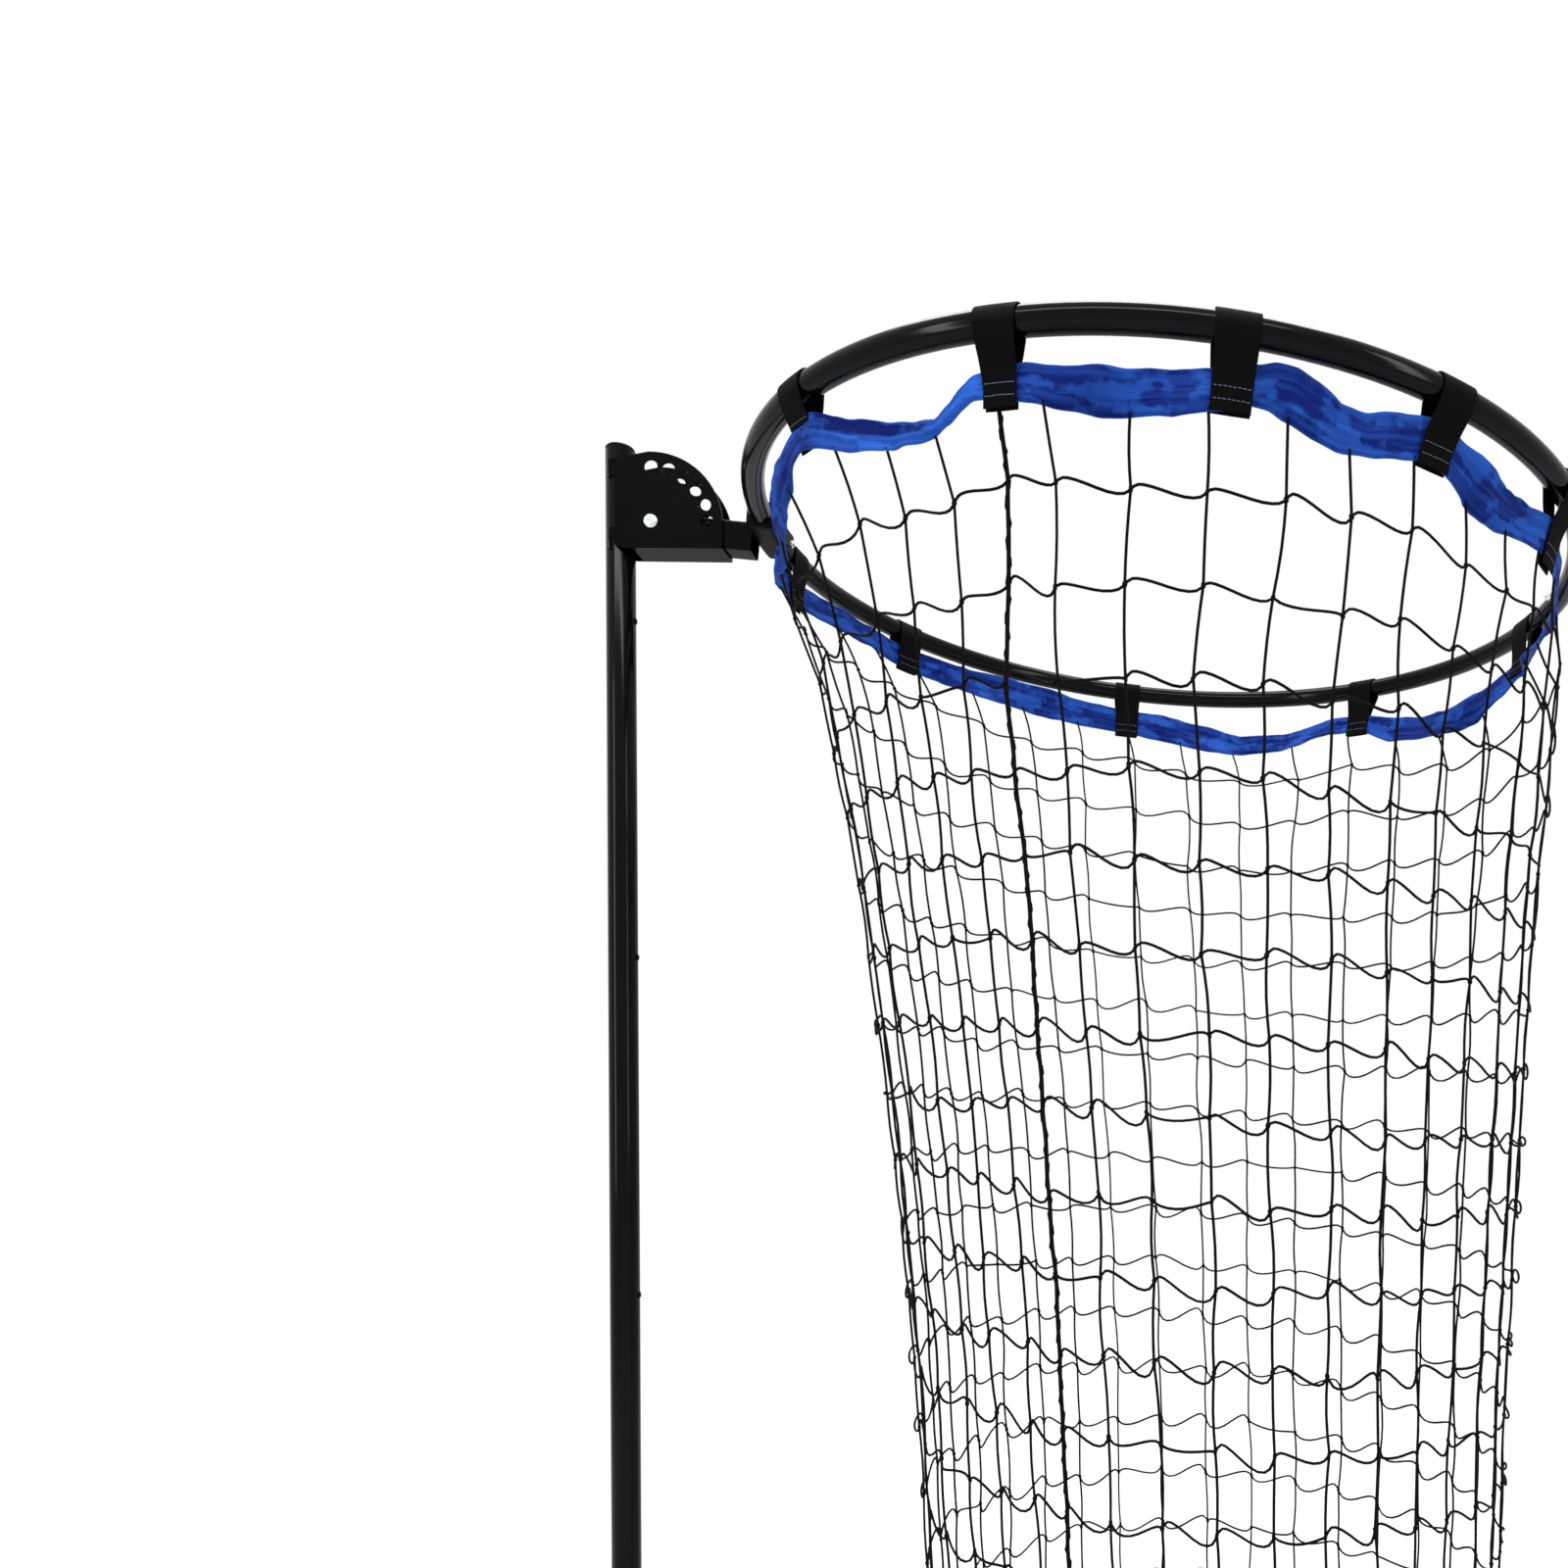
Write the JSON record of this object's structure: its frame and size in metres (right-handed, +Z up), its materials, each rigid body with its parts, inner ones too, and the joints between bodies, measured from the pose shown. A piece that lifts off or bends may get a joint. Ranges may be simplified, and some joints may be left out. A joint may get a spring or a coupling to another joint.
{
  "type": "volleyball practice net",
  "caption": "Free-standing volleyball target: a net tube strapped under a round steel hoop on a telescoping mast with a tilting arm and a beam base.",
  "frame": {"origin": "on the floor under the mast's axis, at the underside of the foot below the mast", "axes": "+Z up along the mast, +X from the mast towards the hoop's centre, +Y away from the side that the picture shows"},
  "size_m": [1.504, 1.135, 2.5123],
  "materials": {
    "black_steel": "glossy black powder coat",
    "black_plastic": "moulded black plastic",
    "zinc": "bright zinc plate",
    "spring_steel": "plain spring steel",
    "webbing": "woven black webbing with grey stitching",
    "blue_tape": "royal blue woven tape",
    "twine": "black knotted twine",
    "rubber": "matte black rubber"
  },
  "bodies": {
    "base": {"base_spine": "black_steel", "base_cross_back": "black_steel", "base_cross_front": "black_steel", "base_plate_back": "black_steel", "base_plate_front": "black_steel", "base_bolt_back": "zinc", "base_bolt_front": "zinc", "base_plug_back_near": "black_plastic", "base_plug_back_far": "black_plastic", "base_plug_front_near": "black_plastic", "base_plug_front_far": "black_plastic", "base_foot_mast": "rubber", "base_foot_back_near": "rubber", "base_foot_back_far": "rubber", "base_foot_front_near": "rubber", "base_foot_front_far": "rubber", "mast_socket": "black_steel", "flange_bolt_back": "zinc", "flange_bolt_front": "zinc", "mast_outer_tube": "black_steel", "clamp_boss": "black_steel"},
    "clamp": {"clamp_knob": "black_plastic"},
    "mast": {"mast_upper_tube": "black_steel", "mast_cap": "black_plastic", "tilt_bracket": "black_steel", "pivot_screw": "zinc", "pivot_nut": "zinc"},
    "snap_button_1": {"mast_button_1": "black_plastic"},
    "snap_button_2": {"mast_button_2": "black_plastic"},
    "snap_button_3": {"mast_button_3": "black_plastic"},
    "hoop": {"hoop_arm": "black_steel", "pivot_spacer_near": "black_plastic", "pivot_spacer_far": "black_plastic", "tilt_button_spring": "spring_steel", "arm_saddle": "black_plastic", "saddle_near_bolt": "zinc", "saddle_near_nut": "zinc", "saddle_far_bolt": "zinc", "saddle_far_nut": "zinc", "hoop_tube_near": "black_steel", "hoop_tube_far": "black_steel", "hoop_sleeve_arm": "black_steel", "hoop_sleeve_outer": "black_steel", "joint_bolt": "zinc", "joint_nut": "zinc", "strap_01": "webbing", "strap_02": "webbing", "strap_03": "webbing", "strap_04": "webbing", "strap_05": "webbing", "strap_06": "webbing", "strap_07": "webbing", "strap_08": "webbing", "strap_09": "webbing", "strap_10": "webbing", "hem_band": "blue_tape"},
    "lock_button_near": {"tilt_button_near": "black_plastic"},
    "lock_button_far": {"tilt_button_far": "black_plastic"},
    "net": {"net_mesh": "twine", "net_bottom_cord": "twine"}
  },
  "joints": [
    {"name": "mast_height", "type": "slide", "parent": "base", "child": "mast", "axis": [0, 0, 1], "range_m": [-0.3, 0.15]},
    {"name": "knob_turn", "type": "hinge", "parent": "base", "child": "clamp", "pos_m": [-0.05, 0, 0.87], "axis": [-1, 0, 0], "continuous": true},
    {"name": "snap_press_1", "type": "slide", "parent": "mast", "child": "snap_button_1", "axis": [-1, 0, 0], "range_m": [0, 0.002], "stiffness_N_per_m": 800},
    {"name": "snap_press_2", "type": "slide", "parent": "mast", "child": "snap_button_2", "axis": [-1, 0, 0], "range_m": [0, 0.002], "stiffness_N_per_m": 800},
    {"name": "snap_press_3", "type": "slide", "parent": "mast", "child": "snap_button_3", "axis": [-1, 0, 0], "range_m": [0, 0.002], "stiffness_N_per_m": 800},
    {"name": "hoop_tilt", "type": "hinge", "parent": "mast", "child": "hoop", "pos_m": [0.049, 0, 2.39898], "axis": [0, -1, 0], "range_deg": [0, 90]},
    {"name": "lock_near", "type": "slide", "parent": "hoop", "child": "lock_button_near", "axis": [0, -1, 0], "range_m": [0, 0.0045], "stiffness_N_per_m": 300},
    {"name": "lock_far", "type": "slide", "parent": "hoop", "child": "lock_button_far", "axis": [0, 1, 0], "range_m": [0, 0.0045], "stiffness_N_per_m": 300},
    {"name": "net_hang", "type": "hinge", "parent": "hoop", "child": "net", "pos_m": [0.75, 0, 1.8], "axis": [0, -1, 0], "range_deg": [-90, 0], "deforming": ["net_mesh"]}
  ],
  "couplings": [
    {"joint": "net_hang", "follows": "hoop_tilt", "ratio": -1}
  ]
}
